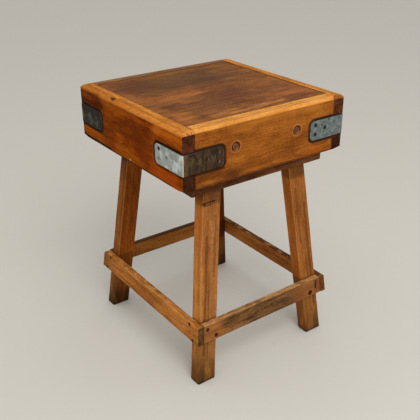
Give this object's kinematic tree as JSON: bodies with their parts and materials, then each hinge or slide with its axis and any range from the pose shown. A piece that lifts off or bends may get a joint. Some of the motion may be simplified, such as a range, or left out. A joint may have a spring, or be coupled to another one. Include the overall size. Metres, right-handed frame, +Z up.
{
  "type": "butcher block table",
  "caption": "Freestanding butcher block table: a thick framed block of staves with steel corner straps, on bearers and splayed legs joined by lapped stretchers.",
  "frame": {"origin": "on the floor, below the middle of the block", "axes": "+Z up, -Y towards the front with the nuts of the tie bolts, +X to the right seen from the front"},
  "size_m": [0.612, 0.6214, 0.864],
  "materials": {
    "frame_wood": "oiled, honey brown, worn",
    "core_wood": "oiled, dark with use",
    "stand_wood": "oiled, soiled at the feet",
    "bearer_wood": "dry, dark",
    "strap_steel": "galvanised, stained",
    "bolt_steel": "dull, browned",
    "screw_steel": "dull, blackened"
  },
  "bodies": {
    "root": {"side_board_left": "frame_wood", "side_board_right": "frame_wood", "end_board_front": "frame_wood", "end_board_back": "frame_wood", "stave_1": "core_wood", "stave_2": "core_wood", "stave_3": "core_wood", "stave_4": "core_wood", "stave_5": "core_wood", "stave_6": "core_wood", "stave_7": "core_wood", "stave_8": "core_wood", "stave_9": "core_wood", "tie_bolt_left": "bolt_steel", "tie_bolt_nut_left": "bolt_steel", "tie_bolt_washer_front_left": "bolt_steel", "tie_bolt_washer_back_left": "bolt_steel", "tie_bolt_right": "bolt_steel", "tie_bolt_nut_right": "bolt_steel", "tie_bolt_washer_front_right": "bolt_steel", "tie_bolt_washer_back_right": "bolt_steel", "corner_strap_front_left": "strap_steel", "corner_strap_front_right": "strap_steel", "corner_strap_back_left": "strap_steel", "corner_strap_back_right": "strap_steel", "bearer_front": "bearer_wood", "bearer_back": "bearer_wood", "leg_front_left": "stand_wood", "leg_front_right": "stand_wood", "leg_back_left": "stand_wood", "leg_back_right": "stand_wood", "stretcher_front": "stand_wood", "stretcher_back": "stand_wood", "stretcher_left": "stand_wood", "stretcher_right": "stand_wood", "stretcher_screw_side_upper_front_left": "screw_steel", "stretcher_screw_side_upper_front_right": "screw_steel", "stretcher_screw_side_upper_back_left": "screw_steel", "stretcher_screw_side_upper_back_right": "screw_steel", "stretcher_screw_side_lower_front_left": "screw_steel", "stretcher_screw_side_lower_front_right": "screw_steel", "stretcher_screw_side_lower_back_left": "screw_steel", "stretcher_screw_side_lower_back_right": "screw_steel", "stretcher_screw_end_upper_front_left": "screw_steel", "stretcher_screw_end_upper_front_right": "screw_steel", "stretcher_screw_end_upper_back_left": "screw_steel", "stretcher_screw_end_upper_back_right": "screw_steel", "stretcher_screw_end_lower_front_left": "screw_steel", "stretcher_screw_end_lower_front_right": "screw_steel", "stretcher_screw_end_lower_back_left": "screw_steel", "stretcher_screw_end_lower_back_right": "screw_steel", "leg_coach_screw_front_left": "screw_steel", "block_coach_screw_front_left": "screw_steel", "leg_coach_screw_front_right": "screw_steel", "block_coach_screw_front_right": "screw_steel", "leg_coach_screw_back_left": "screw_steel", "block_coach_screw_back_left": "screw_steel", "leg_coach_screw_back_right": "screw_steel", "block_coach_screw_back_right": "screw_steel"}
  },
  "joints": []
}
